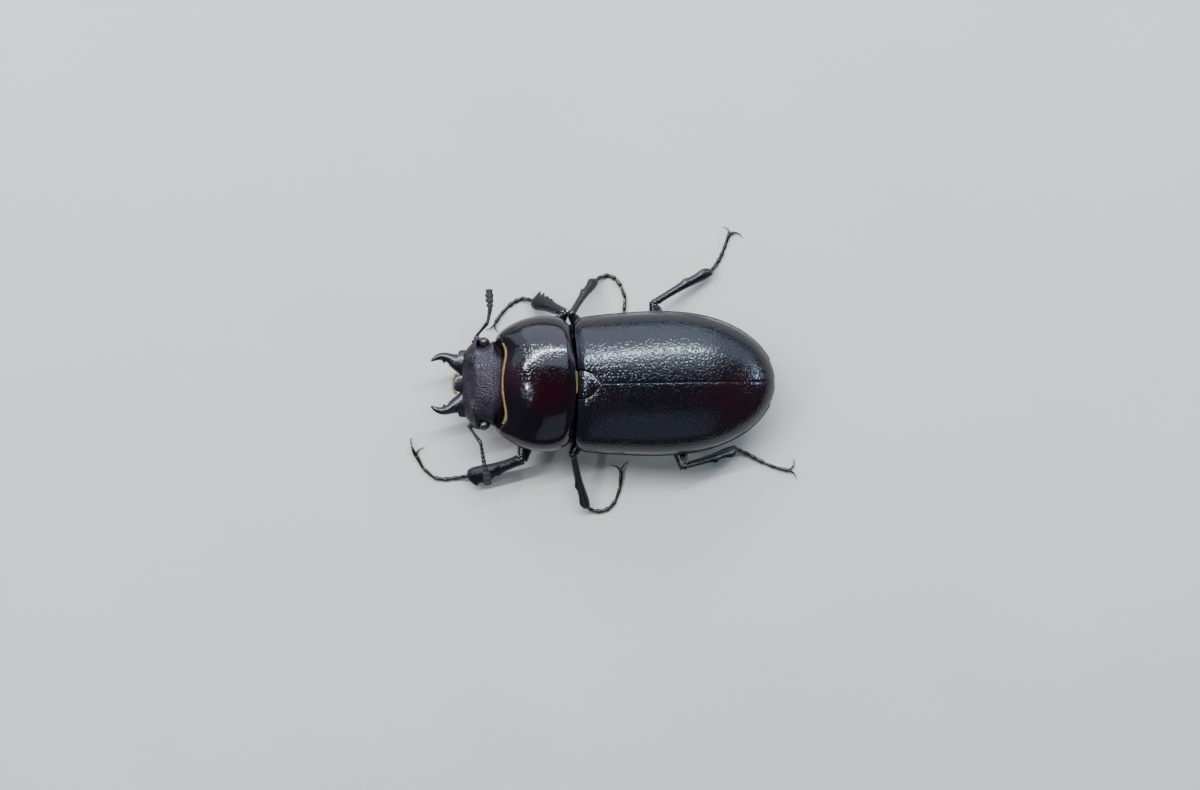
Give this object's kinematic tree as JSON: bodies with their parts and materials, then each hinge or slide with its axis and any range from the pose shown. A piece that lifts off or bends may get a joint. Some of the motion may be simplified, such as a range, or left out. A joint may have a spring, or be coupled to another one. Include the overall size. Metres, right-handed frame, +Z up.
{
  "type": "stag beetle",
  "caption": "Life-size still model of a short-jawed stag beetle standing on its feet, with domed wing cases, a broad shield behind the head, elbowed feelers and toothed forelegs.",
  "frame": {"origin": "on the floor under the middle of the footprint of the whole animal, feelers and claws included", "axes": "+Z up from the floor; the head points along -Y and the tail along +Y; +X is the animal's left"},
  "size_m": [0.0288, 0.0386, 0.0093],
  "materials": {
    "wing_case": "glossy very dark reddish-brown shell, finely and densely pricked all over",
    "shield": "glossy dark reddish-brown plate, fine pricks, duller and granular on the head",
    "underside": "satin blackish-brown belly plates",
    "limb": "glossy black shell with a faint blue sheen",
    "feeler": "dull dark grey-brown, the club finely downy",
    "eye": "black faceted eye with a wet gloss",
    "hair": "short golden bristles"
  },
  "bodies": {
    "root": {"abdomen": "underside", "antenna_left_beads": "feeler", "antenna_left_club": "feeler", "antenna_left_scape": "feeler", "antenna_right_beads": "feeler", "antenna_right_club": "feeler", "antenna_right_scape": "feeler", "claws_fore_left": "limb", "claws_fore_right": "limb", "claws_hind_left": "limb", "claws_hind_right": "limb", "claws_mid_left": "limb", "claws_mid_right": "limb", "coxa_fore_left": "limb", "coxa_fore_right": "limb", "coxa_hind_left": "limb", "coxa_hind_right": "limb", "coxa_mid_left": "limb", "coxa_mid_right": "limb", "eye_left": "eye", "eye_right": "eye", "femur_fore_left": "limb", "femur_fore_right": "limb", "femur_hind_left": "limb", "femur_hind_right": "limb", "femur_mid_left": "limb", "femur_mid_right": "limb", "head": "shield", "hind_thorax": "underside", "labrum": "limb", "mandible_left": "limb", "mandible_right": "limb", "mentum": "underside", "palp_left": "feeler", "palp_right": "feeler", "prothorax": "shield", "scutellum": "wing_case", "tarsus_fore_left": "limb", "tarsus_fore_right": "limb", "tarsus_hind_left": "limb", "tarsus_hind_right": "limb", "tarsus_mid_left": "limb", "tarsus_mid_right": "limb", "tibia_fore_left": "limb", "tibia_fore_right": "limb", "tibia_hind_left": "limb", "tibia_hind_right": "limb", "tibia_mid_left": "limb", "tibia_mid_right": "limb", "wing_case_left": "wing_case", "wing_case_right": "wing_case"}
  },
  "joints": []
}
